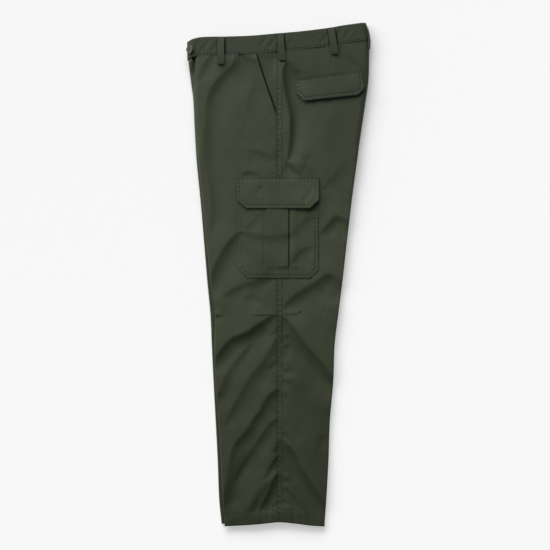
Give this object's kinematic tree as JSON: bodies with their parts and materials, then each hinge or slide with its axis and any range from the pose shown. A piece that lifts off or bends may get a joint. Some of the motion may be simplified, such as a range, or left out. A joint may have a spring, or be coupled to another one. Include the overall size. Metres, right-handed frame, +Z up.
{
  "type": "cargo pants",
  "caption": "Cargo pants in dark olive twill, folded in half lengthwise and laid flat, with slant, flap and pleated cargo pockets, belt loops and a waist button.",
  "frame": {"origin": "on the surface that the garment lies on, under the middle of its bounding box", "axes": "+Y from hem to waist, +X from the front edge to the seat, +Z up from the surface"},
  "size_m": [0.3962, 1.0827, 0.0274],
  "materials": {
    "twill": "dark olive-green cotton twill, matt with a soft nap, steep fine diagonal ribs",
    "twill_inside": "the same twill, inner face",
    "thread": "matching olive sewing thread",
    "button_resin": "olive moulded resin with a satin sheen"
  },
  "bodies": {
    "root": {"left_front": "twill", "left_back": "twill", "right_front": "twill", "right_back": "twill", "hidden_layers": "twill_inside", "waistband_left": "twill", "waistband_right": "twill", "belt_loop_front": "twill", "belt_loop_side": "twill", "belt_loop_back": "twill", "belt_loop_centre_back": "twill", "hand_pocket_facing": "twill", "back_pocket_flap": "twill", "cargo_pocket": "twill", "cargo_flap": "twill", "button": "button_resin"}
  },
  "joints": []
}
